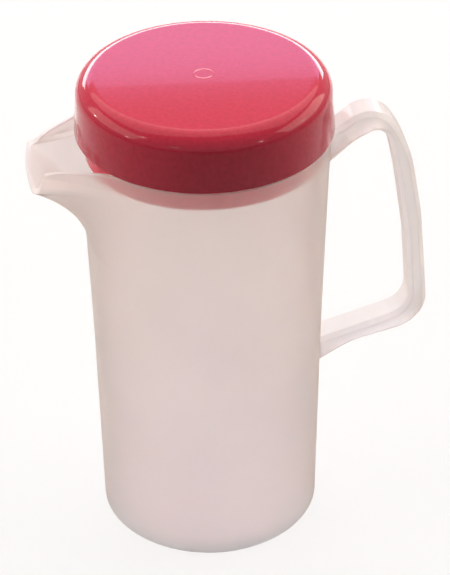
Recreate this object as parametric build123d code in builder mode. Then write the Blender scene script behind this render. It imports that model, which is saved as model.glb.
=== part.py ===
"""Plastic pouring jug with a push-in lid, about 1.5 litres.

Two mouldings: the jug, whose body, spout and handle are one piece, and the lid.
The origin is on the jug's axis in the plane that it stands on. +Z is up, the
handle points along +X and the spout along -X. All sizes are in millimetres.
"""
import os
from math import cos, radians, sin

from build123d import *

# Body: a tall round cup that widens towards its mouth, with a slight inward bow.
# Its outside is straight up to the top of the handle's lower root.
HEIGHT = 200.0
MOUTH_R = 55.0
BASE_R = 50.8
WALL = 2.0
FLOOR = 2.8
BASE_CORNER = 1.6
INNER_CORNER = 4.0
WALL_BOW = 0.7
ROOT_TOP = 92.0
WALL_TOP = 147.0
FOOT_WIDTH = 5.0
FOOT_DEPTH = 0.9
GATE_R = 4.0
GATE_DEPTH = 0.5

# Spout: above this height the body's own wall is drawn forward into a beak
BEAK_START = 150.0
BEAK_STEPS = 6
BEAK_HALF = 12.0
LIP_Z = 186.8
LIP_REACH = 23.4
LIP_HALF = 22.9
LIP_HALF_INSIDE = 19.2
SWELL_OUTSIDE = 2.0
SWELL_INSIDE = 2.15
SPREAD = 1.4
ROOT_ANGLE = 46.0
CORNER_ANGLE = 13.0
CORNER_CUT = 2.4
FRONT_EASE = 3.6
LEAD = 0.52
LEAD_EASE = 0.0026

# Above the lip the beak draws in again towards its two ridges. Each level has a
# height, how far the beak stands proud of the round body and half its width.
CROWN_OUTSIDE = [(188.6, 23.6, 20.8), (191.5, 23.6, 15.5), (HEIGHT, 20.0, 13.0)]
CROWN_INSIDE = [(191.0, 25.0, 12.6), (HEIGHT + 4, 28.0, 11.8)]
# Side view of the spout's top edge, from the rim down the ridges to the lip
RIDGE = [(-38.0, HEIGHT), (-46.0, 199.1), (-53.0, 197.2), (-61.0, 195.2), (-69.5, 192.8)]
RIDGE_END = (-75.6, LIP_Z)
LIP_FRONT = -82.0

# Handle: corners of its outer and inner edges in side view, from the upper root to
# the lower one, with the bend at each corner
HANDLE_WIDTH = 15.0
HANDLE_EASE = 2.0
HANDLE_OUTER = [
    (50.0, 196.8),
    (55.9, 196.7),
    (73.7, 212.0),
    (89.8, 188.8),
    (96.4, 152.1),
    (101.8, 93.7),
    (65.9, 84.0),
    (50.0, 74.0),
]
HANDLE_OUTER_BENDS = [14.6, 13.0, 61.4, 61.4, 17.4, 37.4]
HANDLE_INNER = [
    (50.0, 177.8),
    (65.9, 192.4),
    (78.2, 198.1),
    (83.7, 179.3),
    (90.0, 139.5),
    (93.1, 101.1),
    (50.0, 87.0),
]
HANDLE_INNER_BENDS = [38.8, 5.4, 205.8, 85.6, 12.1]

# Lid: a stepped cap, whose lower ring pushes into the mouth
LID_TOP = 27.0
SHOULDER_BEND = 8.0
SHOULDER_TURNS = 5
SHOULDER_TURNS_INSIDE = 1
LID_UPPER_R = 55.1
LID_LOWER_R = 56.4
LID_WALL = 1.8
SKIRT_GAP = 1.3
SEAT_R = 54.4
SEAT_GAP = 0.3
PLUG_TOP_R = 52.7
PLUG_TIP_R = 52.4
PLUG_WALL = 1.7
PLUG_DEPTH = 9.2
PLUG_LEAD = 0.8


def body_r(z):
    """Outside radius of the round body at height z, bowed in between foot and mouth."""
    rise = z / HEIGHT
    return BASE_R + (MOUTH_R - BASE_R) * rise - 4 * WALL_BOW * rise * (1 - rise)


def body_slope(z):
    """How fast the outside radius grows with height."""
    return (MOUTH_R - BASE_R - 4 * WALL_BOW * (1 - 2 * z / HEIGHT)) / HEIGHT


def polar(r, angle):
    """Point at an angle from the spout's own direction, which is -X."""
    return Vector(-r * cos(radians(angle)), r * sin(radians(angle)))


def mirrored(p):
    return Vector(p.X, -p.Y)


def round_outline(r):
    """A circle of radius r, broken at the same places as the beak's outline."""
    breaks = (ROOT_ANGLE, 1.25 * CORNER_ANGLE, 0.75 * CORNER_ANGLE)
    angles = (*breaks, *(-angle for angle in reversed(breaks)))
    for start, end in zip(angles, angles[1:]):
        ThreePointArc(polar(r, start), polar(r, (start + end) / 2), polar(r, end))
    ThreePointArc(polar(r, angles[-1]), Vector(r, 0), polar(r, angles[0]))


def beak_outline(r, reach, half):
    """The round back of radius r, two sides swept forward from it and a blunt front."""
    tip = -(r + reach)
    sagitta = half**2 / (2 * (r + FRONT_EASE * reach))
    root = polar(r, ROOT_ANGLE)
    leave = Vector(-sin(radians(ROOT_ANGLE)), -cos(radians(ROOT_ANGLE)))
    corner = Vector(tip + sagitta, half)
    bend = root + leave * (LEAD - LEAD_EASE * reach) * (corner - root).length
    side_end = corner - (corner - bend).normalized() * CORNER_CUT
    front_start = corner + (Vector(tip - sagitta, 0) - corner).normalized() * CORNER_CUT
    front = Vector(2 * tip - front_start.X, 0)
    Bezier(root, bend, side_end)
    Bezier(side_end, corner, front_start)
    Bezier(front_start, front, mirrored(front_start))
    Bezier(mirrored(front_start), mirrored(corner), mirrored(side_end))
    Bezier(mirrored(side_end), mirrored(bend), mirrored(root))
    ThreePointArc(mirrored(root), Vector(r, 0), root)


def swelling(reach, half, power):
    """Levels from the start of the beak up to the lip, where it stands out fastest."""
    levels = []
    for step in range(1, BEAK_STEPS + 1):
        swell = (step / BEAK_STEPS) ** power
        z = BEAK_START + (LIP_Z - BEAK_START) * step / BEAK_STEPS
        levels.append((z, reach * swell, BEAK_HALF + (half - BEAK_HALF) * swell**SPREAD))
    return levels


def beak_sections(levels, inset):
    """The outline at each level as a face, set in from the outside of the round body."""
    sections = []
    for z, reach, half in levels:
        with BuildSketch(Plane.XY.offset(z)) as section:
            with BuildLine():
                beak_outline(body_r(z) - inset, reach, half)
            make_face()
        sections.append(section.sketch.face())
    return sections


def round_section(z, inset):
    with BuildSketch(Plane.XY.offset(z)) as section:
        with BuildLine():
            round_outline(body_r(z) - inset)
        make_face()
    return section.sketch.face()


def wall_point(z, inset):
    return Vector(body_r(z) - inset, z)


def cup_half(inset, floor, corner, straight_top):
    """Half section of the round body below the beak, set in from its outside."""
    bow_start = max(floor + corner, straight_top)
    bow_half = (WALL_TOP - bow_start) / 2
    with BuildSketch(Plane.XZ) as half:
        with BuildLine():
            base = Polyline((0, BEAK_START), (0, floor), wall_point(floor, inset + corner))
            bevel = Bezier(base @ 1, wall_point(floor + corner, inset))
            if bow_start > floor + corner:
                Line(bevel @ 1, wall_point(bow_start, inset))
            Bezier(
                wall_point(bow_start, inset),
                wall_point(bow_start, inset) + Vector(body_slope(bow_start), 1) * bow_half,
                wall_point(WALL_TOP, inset),
            )
            Polyline(wall_point(WALL_TOP, inset), wall_point(BEAK_START, inset), base @ 0)
        make_face()
    return half.sketch.face()


def shoulder(r, top, bend, count):
    """Points of a rounded edge in even turns, from the lid's flat top to its side."""
    turns = [radians(90 * step / count) for step in range(count + 1)]
    return [(r - bend + bend * sin(turn), top - bend + bend * cos(turn)) for turn in turns]


os.makedirs("parts", exist_ok=True)

# The hollow that the core leaves in the jug
with BuildPart() as hollow:
    revolve(cup_half(WALL, FLOOR, INNER_CORNER, 0), axis=Axis.Z)
    rise = swelling(LIP_REACH, LIP_HALF_INSIDE, SWELL_INSIDE)
    loft([round_section(BEAK_START, WALL), *beak_sections(rise, WALL)])
    loft(beak_sections([rise[-1], *CROWN_INSIDE], WALL), ruled=True)

# The handle: its side view drawn as one closed outline, then eased along both faces
with BuildPart() as handle:
    with BuildSketch(Plane.XZ):
        with BuildLine():
            outer = FilletPolyline(*HANDLE_OUTER, radius=HANDLE_OUTER_BENDS)
            inner = FilletPolyline(*HANDLE_INNER, radius=HANDLE_INNER_BENDS)
            Line(outer @ 0, inner @ 0)
            Line(outer @ 1, inner @ 1)
        make_face()
    extrude(amount=HANDLE_WIDTH / 2, both=True)
    rims = handle.faces().filter_by(Axis.Y).edges()
    roots = rims.group_by(Axis.X)[0]
    chamfer(rims - roots, HANDLE_EASE)

with BuildPart() as jug:
    revolve(cup_half(0, 0, BASE_CORNER, ROOT_TOP), axis=Axis.Z)
    rise = swelling(LIP_REACH, LIP_HALF, SWELL_OUTSIDE)
    loft([round_section(BEAK_START, 0), *beak_sections(rise, 0)])
    loft(beak_sections([rise[-1], *CROWN_OUTSIDE], 0), ruled=True)
    add(handle.part)
    add(hollow.part, mode=Mode.SUBTRACT)
    # The spout's top edge
    with BuildSketch(Plane.XZ):
        with BuildLine():
            crest = Spline(*RIDGE, tangents=[(-1, -0.05), (-1, -0.45)])
            drop = Spline(crest @ 1, RIDGE_END, tangents=[(-1, -0.45), (-1, 0)])
            Polyline(
                drop @ 1,
                (LIP_FRONT, LIP_Z),
                (LIP_FRONT, HEIGHT + 5),
                (RIDGE[0][0], HEIGHT + 5),
                crest @ 0,
            )
        make_face()
    extrude(amount=MOUTH_R, both=True, mode=Mode.SUBTRACT)
    # The underside: a foot ring round a shallow recess, with the gate's low pad in it
    with BuildSketch(Plane.XY):
        Circle(BASE_R - BASE_CORNER - FOOT_WIDTH)
    extrude(amount=FOOT_DEPTH, mode=Mode.SUBTRACT)
    with BuildSketch(Plane.XY.offset(FOOT_DEPTH - GATE_DEPTH)):
        Circle(GATE_R)
    extrude(amount=GATE_DEPTH)

with BuildPart() as lid:
    top = HEIGHT + LID_TOP
    hem = HEIGHT + SKIRT_GAP
    seat = HEIGHT + SEAT_GAP
    tip = HEIGHT - PLUG_DEPTH
    outside = shoulder(LID_UPPER_R, top, SHOULDER_BEND, SHOULDER_TURNS)
    inside = shoulder(
        LID_UPPER_R - LID_WALL, top - LID_WALL, SHOULDER_BEND - LID_WALL, SHOULDER_TURNS_INSIDE
    )
    corners = [
        *outside,
        (LID_LOWER_R, hem),
        (SEAT_R, hem),
        (SEAT_R, seat),
        (PLUG_TOP_R, seat),
        (PLUG_TIP_R, tip + PLUG_LEAD),
        (PLUG_TIP_R - PLUG_LEAD, tip),
        (PLUG_TIP_R - PLUG_WALL, tip),
        (PLUG_TOP_R - PLUG_WALL, HEIGHT + LID_WALL / 2),
        (LID_LOWER_R - LID_WALL, hem + LID_WALL),
        *reversed(inside),
    ]
    with BuildSketch(Plane.XZ):
        with BuildLine():
            for start, end in zip(corners, corners[1:]):
                Bezier(start, end)
            Polyline(corners[-1], (0, top - LID_WALL), (0, top), corners[0])
        make_face()
    revolve(axis=Axis.Z)

jug.part.label = "jug"
lid.part.label = "lid"
for piece in (jug, lid):
    export_step(piece.part, f"parts/{piece.part.label}.step")
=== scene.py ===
"""Looks for the plastic jug with its red push-in lid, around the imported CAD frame."""
import math

import bpy
from mathutils import Matrix, Vector


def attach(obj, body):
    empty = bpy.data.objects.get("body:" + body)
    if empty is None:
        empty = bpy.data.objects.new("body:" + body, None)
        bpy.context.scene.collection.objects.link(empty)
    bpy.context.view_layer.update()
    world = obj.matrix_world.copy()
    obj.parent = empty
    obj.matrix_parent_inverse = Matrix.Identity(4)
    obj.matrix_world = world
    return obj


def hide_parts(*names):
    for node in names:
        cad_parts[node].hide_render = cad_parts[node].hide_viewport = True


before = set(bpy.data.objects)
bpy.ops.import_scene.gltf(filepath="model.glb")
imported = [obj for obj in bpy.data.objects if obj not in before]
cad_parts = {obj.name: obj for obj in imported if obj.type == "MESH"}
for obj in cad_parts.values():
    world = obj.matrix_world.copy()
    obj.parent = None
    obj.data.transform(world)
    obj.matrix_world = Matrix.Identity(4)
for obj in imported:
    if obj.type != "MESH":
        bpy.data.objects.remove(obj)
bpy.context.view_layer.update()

# Camera: it looks down on the jug's side, from a little towards the spout
VIEW_TURN = math.radians(7.0)
VIEW_DOWN = math.radians(34.41)
VIEW_ROLL = math.radians(-0.55)
VIEW_DISTANCE = 0.95
VIEW_TARGET = (0.00817, 0.0, 0.11635)
FOCAL_PX = 2087.46
IMAGE_LONG_PX = 575
SENSOR_MM = 36.0

# Height of the jug's rim, in metres
RIM_Z = 0.200

# Lid, in metres: the moulded form with its rounded edges and the ring of its gate
LID_TOP_Z = 0.2266
LID_UPPER_R = 0.0552
LID_LOWER_R = 0.05639
LID_WALL = 0.0018
LID_EDGE_R = 0.0080
HEM_Z = 0.2013
HEM_EDGE_R = 0.0007
SEAT_Z = 0.2003
SEAT_R = 0.0544
PLUG_TOP_R = 0.0527
PLUG_TIP_R = 0.0524
PLUG_TIP_Z = 0.1908
PLUG_WALL = 0.0017
PLUG_LEAD = 0.0008
GATE_R = 0.0041
GATE_WIDTH = 0.0002
GATE_HEIGHT = 0.00006
LID_SEGMENTS = 160
EDGE_STEPS = 18
HEM_STEPS = 5
INNER_EDGE_STEPS = 8
SHARP_ANGLE = math.radians(35.0)

# How clear the milky plastic is in the wall and in the handle, which starts between
# these two distances from the jug's axis
WALL_CLEAR = 0.79
HANDLE_CLEAR = 0.75
HANDLE_START_X = 0.055
HANDLE_CLEAR_X = 0.064

# Edges, where light collects, are milkier: a rounded normal this wide is compared with
# the true one, and the plastic goes from clouded to clear between the two matches
EDGE_WIDTH = 0.0012
EDGE_CLEAR = 0.0
EDGE_MATCH = 0.88
FLAT_MATCH = 0.99
BEVEL_SAMPLES = 8

# Tint of the milky plastic by its share of the jug's height: its own milky colour, with
# painted shade that makes it cooler and greyer towards the foot and painted warm light
# near the mouth, and the clouds in it
MILKY_TINT_AND_HEIGHT_SHADE = [
    (0.0, (0.95, 0.90, 0.905, 1.0)),
    (0.45, (0.965, 0.915, 0.905, 1.0)),
    (1.0, (0.965, 0.905, 0.88, 1.0)),
]
WHITE = (1.0, 1.0, 1.0, 1.0)
MILKY_CLOUDS = [(0.35, (0.97, 0.97, 0.975, 1.0)), (0.65, WHITE)]
RED_TINT = [(0.30, (0.56, 0.010, 0.042, 1.0)), (0.75, (0.65, 0.015, 0.058, 1.0))]


def set_inputs(node, **values):
    for name, value in values.items():
        node.inputs[name.replace("_", " ")].default_value = value


def new_material(name):
    material = bpy.data.materials.new(name)
    material.use_nodes = True
    tree = material.node_tree
    tree.nodes.clear()
    return material, tree.nodes, tree.links


def ramp(nodes, stops):
    node = nodes.new("ShaderNodeValToRGB")
    elements = node.color_ramp.elements
    elements[0].position, elements[0].color = stops[0]
    elements[1].position, elements[1].color = stops[-1]
    for position, color in stops[1:-1]:
        element = elements.new(position)
        element.color = color
    return node


def noise(nodes, links, coords, *, scale, detail):
    node = nodes.new("ShaderNodeTexNoise")
    set_inputs(node, Scale=scale, Detail=detail)
    links.new(coords.outputs["Object"], node.inputs["Vector"])
    return node


def multiply(nodes, links, first, second):
    mix = nodes.new("ShaderNodeMix")
    mix.data_type = "RGBA"
    mix.blend_type = "MULTIPLY"
    mix.inputs["Factor"].default_value = 1.0
    links.new(first, mix.inputs["A"])
    links.new(second, mix.inputs["B"])
    return mix.outputs["Result"]


def grained_normal(nodes, links, coords, *, scale, strength, distance, rounding):
    """Fine moulded surface texture, over edges that are rounded a little."""
    bevel = nodes.new("ShaderNodeBevel")
    bevel.samples = BEVEL_SAMPLES
    bevel.inputs["Radius"].default_value = rounding
    bump = nodes.new("ShaderNodeBump")
    set_inputs(bump, Strength=strength, Distance=distance)
    grain = noise(nodes, links, coords, scale=scale, detail=3.0)
    links.new(grain.outputs["Fac"], bump.inputs["Height"])
    links.new(bevel.outputs["Normal"], bump.inputs["Normal"])
    return bump.outputs["Normal"]


def edge_free(nodes, links):
    """One away from sharp edges, and down to EDGE_CLEAR beside them."""
    rounded_edge = nodes.new("ShaderNodeBevel")
    rounded_edge.samples = BEVEL_SAMPLES
    rounded_edge.inputs["Radius"].default_value = EDGE_WIDTH
    surface = nodes.new("ShaderNodeNewGeometry")
    match = nodes.new("ShaderNodeVectorMath")
    match.operation = "DOT_PRODUCT"
    links.new(rounded_edge.outputs["Normal"], match.inputs[0])
    links.new(surface.outputs["Normal"], match.inputs[1])
    level = nodes.new("ShaderNodeMapRange")
    set_inputs(
        level, From_Min=EDGE_MATCH, From_Max=FLAT_MATCH, To_Min=EDGE_CLEAR, To_Max=1.0
    )
    links.new(match.outputs["Value"], level.inputs["Value"])
    return level.outputs["Result"]


def milky_material():
    material, nodes, links = new_material("milky_polypropylene")
    out = nodes.new("ShaderNodeOutputMaterial")
    skin = nodes.new("ShaderNodeBsdfPrincipled")
    set_inputs(
        skin,
        Roughness=0.60,
        IOR=1.25,
        Subsurface_Weight=0.2,
        Subsurface_Scale=0.002,
        Subsurface_Radius=(1.0, 0.8, 0.7),
        Coat_Weight=0.3,
        Coat_Roughness=0.10,
        Sheen_Weight=1.0,
        Sheen_Roughness=0.35,
        Sheen_Tint=(1.0, 0.89, 0.79, 1.0),
    )
    coords = nodes.new("ShaderNodeTexCoord")
    surface = grained_normal(
        nodes, links, coords, scale=900.0, strength=0.12, distance=0.00008, rounding=0.0006
    )
    links.new(surface, skin.inputs["Normal"])
    split = nodes.new("ShaderNodeSeparateXYZ")
    links.new(coords.outputs["Object"], split.inputs["Vector"])
    # The solid handle is milkier than the thin wall, and edges are milkier than either
    thin = nodes.new("ShaderNodeMapRange")
    set_inputs(
        thin,
        From_Min=HANDLE_START_X,
        From_Max=HANDLE_CLEAR_X,
        To_Min=WALL_CLEAR,
        To_Max=HANDLE_CLEAR,
    )
    links.new(split.outputs["X"], thin.inputs["Value"])
    clear = nodes.new("ShaderNodeMath")
    clear.operation = "MULTIPLY"
    links.new(thin.outputs["Result"], clear.inputs[0])
    links.new(edge_free(nodes, links), clear.inputs[1])
    links.new(clear.outputs["Value"], skin.inputs["Transmission Weight"])
    # Painted shade and light by height: the milky colour greys towards the foot and warms near
    # the mouth
    level = nodes.new("ShaderNodeMapRange")
    set_inputs(level, From_Min=0.0, From_Max=RIM_Z)
    links.new(split.outputs["Z"], level.inputs["Value"])
    tint = ramp(nodes, MILKY_TINT_AND_HEIGHT_SHADE)
    links.new(level.outputs["Result"], tint.inputs["Fac"])
    clouding = ramp(nodes, MILKY_CLOUDS)
    clouds = noise(nodes, links, coords, scale=22.0, detail=2.0)
    links.new(clouds.outputs["Fac"], clouding.inputs["Fac"])
    links.new(
        multiply(nodes, links, tint.outputs["Color"], clouding.outputs["Color"]),
        skin.inputs["Base Color"],
    )
    links.new(skin.outputs["BSDF"], out.inputs["Surface"])
    return material


def red_material():
    material, nodes, links = new_material("red_polystyrene")
    out = nodes.new("ShaderNodeOutputMaterial")
    skin = nodes.new("ShaderNodeBsdfPrincipled")
    set_inputs(
        skin,
        Roughness=0.08,
        IOR=1.45,
        Specular_IOR_Level=0.20,
        Coat_Weight=0.16,
        Coat_Roughness=0.02,
    )
    coords = nodes.new("ShaderNodeTexCoord")
    surface = grained_normal(
        nodes, links, coords, scale=700.0, strength=0.10, distance=0.00006, rounding=0.0003
    )
    links.new(surface, skin.inputs["Normal"])
    tint = ramp(nodes, RED_TINT)
    specks = noise(nodes, links, coords, scale=520.0, detail=1.0)
    links.new(specks.outputs["Fac"], tint.inputs["Fac"])
    links.new(tint.outputs["Color"], skin.inputs["Base Color"])
    links.new(skin.outputs["BSDF"], out.inputs["Surface"])
    return material


def rounded(center, radius, start, end, count):
    """Points of an arc in the lid's section, between two angles in degrees from +R."""
    r, z = center
    turns = [math.radians(start + (end - start) * step / count) for step in range(count + 1)]
    return [(r + radius * math.cos(turn), z + radius * math.sin(turn)) for turn in turns]


def lid_profile():
    """Half section of the lid, from the middle of its top round to the middle inside."""
    flat_r = LID_UPPER_R - LID_EDGE_R
    # Rings beside the gate and the rounded edge keep the shading of the flat between flat
    top = [
        (0.0, LID_TOP_Z),
        (GATE_R - 3 * GATE_WIDTH, LID_TOP_Z),
        (GATE_R - 2 * GATE_WIDTH, LID_TOP_Z),
        (GATE_R - GATE_WIDTH, LID_TOP_Z + GATE_HEIGHT),
        (GATE_R, LID_TOP_Z + GATE_HEIGHT),
        (GATE_R + GATE_WIDTH, LID_TOP_Z),
        (GATE_R + 2 * GATE_WIDTH, LID_TOP_Z),
        (flat_r / 2, LID_TOP_Z),
        (flat_r - LID_EDGE_R / 10, LID_TOP_Z),
    ]
    edge_center = (flat_r, LID_TOP_Z - LID_EDGE_R)
    edge = rounded(edge_center, LID_EDGE_R, 90, 0, EDGE_STEPS)
    hem_center = (LID_LOWER_R - HEM_EDGE_R, HEM_Z + HEM_EDGE_R)
    hem = rounded(hem_center, HEM_EDGE_R, 0, -90, HEM_STEPS)
    inner_edge = rounded(edge_center, LID_EDGE_R - LID_WALL, 0, 90, INNER_EDGE_STEPS)
    plug = [
        (SEAT_R, HEM_Z),
        (SEAT_R, SEAT_Z),
        (PLUG_TOP_R, SEAT_Z),
        (PLUG_TIP_R, PLUG_TIP_Z + PLUG_LEAD),
        (PLUG_TIP_R - PLUG_LEAD, PLUG_TIP_Z),
        (PLUG_TIP_R - PLUG_WALL, PLUG_TIP_Z),
        (PLUG_TOP_R - PLUG_WALL, RIM_Z + LID_WALL / 2),
        (LID_LOWER_R - LID_WALL, HEM_Z + LID_WALL),
    ]
    return [*top, *edge, *hem, *plug, *inner_edge, (0.0, LID_TOP_Z - LID_WALL)]


def lathe(name, profile, segments):
    """A closed mesh turned about Z from a half section that starts and ends on the axis."""
    verts = [(0.0, 0.0, profile[0][1])]
    for r, z in profile[1:-1]:
        for step in range(segments):
            turn = 2 * math.pi * step / segments
            verts.append((r * math.cos(turn), r * math.sin(turn), z))
    verts.append((0.0, 0.0, profile[-1][1]))
    rings = len(profile) - 2
    last = len(verts) - 1
    faces = []
    for step in range(segments):
        after = (step + 1) % segments
        faces.append((0, 1 + step, 1 + after))
        for ring in range(rings - 1):
            a = 1 + ring * segments
            b = a + segments
            faces.append((a + step, b + step, b + after, a + after))
        end = 1 + (rings - 1) * segments
        faces.append((end + after, end + step, last))
    mesh = bpy.data.meshes.new(name)
    mesh.from_pydata(verts, [], faces)
    mesh.shade_smooth()
    mesh.set_sharp_from_angle(angle=SHARP_ANGLE)
    turned = bpy.data.objects.new(name, mesh)
    bpy.context.collection.objects.link(turned)
    return turned


def dress(node_name, material):
    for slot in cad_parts[node_name].material_slots:
        slot.material = material


dress("jug", milky_material())
lid = lathe("lid_moulding", lid_profile(), LID_SEGMENTS)
lid.data.materials.append(red_material())
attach(lid, "lid")
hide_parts("lid")


def seen_white(nodes, links, seen, unseen):
    """A colour for the camera, gloss and clear plastic, and another for diffuse light."""
    path = nodes.new("ShaderNodeLightPath")
    first = nodes.new("ShaderNodeMath")
    first.operation = "MAXIMUM"
    links.new(path.outputs["Is Camera Ray"], first.inputs[0])
    links.new(path.outputs["Is Transmission Ray"], first.inputs[1])
    second = nodes.new("ShaderNodeMath")
    second.operation = "MAXIMUM"
    links.new(first.outputs["Value"], second.inputs[0])
    links.new(path.outputs["Is Glossy Ray"], second.inputs[1])
    mix = nodes.new("ShaderNodeMix")
    mix.data_type = "RGBA"
    mix.inputs["A"].default_value = unseen
    mix.inputs["B"].default_value = seen
    links.new(second.outputs["Value"], mix.inputs["Factor"])
    return mix.outputs["Result"]


# How much of the floor's whiteness the camera sees apart from the lamps' light, and its
# colours for the camera and for diffuse light
FLOOR_GLOW = 0.85
FLOOR_GLOW_COLOR = (0.97, 0.96, 0.95, 1.0)
FLOOR_SEEN = (0.94, 0.94, 0.94, 1.0)
FLOOR_UNSEEN = (0.09, 0.08, 0.08, 1.0)
FLOOR_SIZE = 8.0
WORLD_UNSEEN = (0.11, 0.10, 0.10, 1.0)


def build_floor():
    bpy.ops.mesh.primitive_plane_add(size=FLOOR_SIZE)
    floor = bpy.context.object
    floor.name = "floor"
    material, nodes, links = new_material("pale_floor")
    out = nodes.new("ShaderNodeOutputMaterial")
    paint = nodes.new("ShaderNodeBsdfDiffuse")
    links.new(seen_white(nodes, links, FLOOR_SEEN, FLOOR_UNSEEN), paint.inputs["Color"])
    # Clear and milky plastic show the pale floor without the object's own shadow
    path = nodes.new("ShaderNodeLightPath")
    glow = nodes.new("ShaderNodeEmission")
    glow.inputs["Color"].default_value = FLOOR_GLOW_COLOR
    share = nodes.new("ShaderNodeMath")
    share.operation = "MULTIPLY_ADD"
    share.inputs[1].default_value = FLOOR_GLOW
    links.new(path.outputs["Is Camera Ray"], share.inputs[0])
    links.new(path.outputs["Is Transmission Ray"], share.inputs[2])
    choice = nodes.new("ShaderNodeMixShader")
    links.new(share.outputs["Value"], choice.inputs["Fac"])
    links.new(paint.outputs["BSDF"], choice.inputs[1])
    links.new(glow.outputs["Emission"], choice.inputs[2])
    links.new(choice.outputs["Shader"], out.inputs["Surface"])
    floor.data.materials.append(material)


def build_world():
    world = bpy.data.worlds.new("room")
    bpy.context.scene.world = world
    world.use_nodes = True
    nodes, links = world.node_tree.nodes, world.node_tree.links
    nodes.clear()
    out = nodes.new("ShaderNodeOutputWorld")
    air = nodes.new("ShaderNodeBackground")
    links.new(seen_white(nodes, links, WHITE, WORLD_UNSEEN), air.inputs["Color"])
    links.new(air.outputs["Background"], out.inputs["Surface"])


def area_light(name, place, aim, width, height, power, color):
    data = bpy.data.lights.new(name, "AREA")
    data.shape = "RECTANGLE"
    data.size = width
    data.size_y = height
    data.energy = power
    data.color = color
    lamp = bpy.data.objects.new(name, data)
    lamp.visible_camera = False
    bpy.context.collection.objects.link(lamp)
    lamp.location = place
    lamp.rotation_euler = (Vector(aim) - Vector(place)).to_track_quat("-Z", "Y").to_euler()


# Small lamps round the room, each with its bearing from straight behind the jug and its
# height above the level of the lid, both in degrees as the camera sees them
SPOTS = (
    (-72, 16),
    (-112, 11),
    (-121, 36),
    (-156, 16),
    (132, 14),
    (84, 21),
)
SPOT_DISTANCE = 1.8
SPOT_SIZE = 0.035
SPOT_POWER = 1.5
WARM = (1.0, 0.95, 0.90)
AMBER = (1.0, 0.86, 0.74)
COOL = (0.50, 0.52, 1.0)
DAYLIGHT = (0.95, 0.97, 1.0)

# Soft lamps: name, place, the point it faces, width, height, watts and colour. The
# window behind the jug has a cool part, which the lid's flat top mirrors, over a bright
# one, which shows only along the lid's rounded edge.
JUG_MIDDLE = (0.0, 0.0, 0.12)
SOFT_LAMPS = (
    ("overhead", (0.1, 1.1, 1.7), (0.1, 1.1, 0.0), 2.4, 2.4, 26.0, WARM),
    ("window", (0.1, 1.9, 1.13), JUG_MIDDLE, 1.5, 0.26, 3.8, COOL),
    ("low_window", (0.1, 1.9, 0.83), JUG_MIDDLE, 2.3, 0.33, 22.0, DAYLIGHT),
    ("side_left", (-1.6, 0.2, 1.0), JUG_MIDDLE, 2.0, 0.9, 15.0, AMBER),
    ("side_right", (1.6, 0.2, 1.0), JUG_MIDDLE, 2.0, 0.9, 19.0, AMBER),
)


def build_lights():
    for number, (bearing, height) in enumerate(SPOTS):
        turn = math.radians(bearing) + VIEW_TURN
        rise = math.radians(height)
        place = (
            SPOT_DISTANCE * math.cos(rise) * math.sin(turn),
            SPOT_DISTANCE * math.cos(rise) * math.cos(turn),
            LID_TOP_Z + SPOT_DISTANCE * math.sin(rise),
        )
        area_light(f"spot_{number}", place, JUG_MIDDLE, SPOT_SIZE, SPOT_SIZE, SPOT_POWER, WARM)
    for lamp in SOFT_LAMPS:
        area_light(*lamp)


def build_camera():
    data = bpy.data.cameras.new("camera")
    camera = bpy.data.objects.new("camera", data)
    bpy.context.collection.objects.link(camera)
    data.sensor_width = SENSOR_MM
    data.lens = FOCAL_PX * SENSOR_MM / IMAGE_LONG_PX
    data.clip_start = 0.05
    forward = Vector((0.0, math.cos(VIEW_DOWN), -math.sin(VIEW_DOWN)))
    right = Vector((1.0, 0.0, 0.0))
    up = right.cross(forward)
    rolled_right = math.cos(VIEW_ROLL) * right + math.sin(VIEW_ROLL) * up
    rolled_up = -math.sin(VIEW_ROLL) * right + math.cos(VIEW_ROLL) * up
    turn = Matrix.Rotation(-VIEW_TURN, 4, "Z")
    basis = Matrix((rolled_right, rolled_up, -forward)).transposed().to_4x4()
    place = Matrix.Translation(Vector(VIEW_TARGET) - VIEW_DISTANCE * forward)
    camera.matrix_world = turn @ place @ basis
    bpy.context.scene.camera = camera


build_floor()
build_world()
build_lights()
build_camera()
bpy.context.scene.view_settings.view_transform = "Standard"
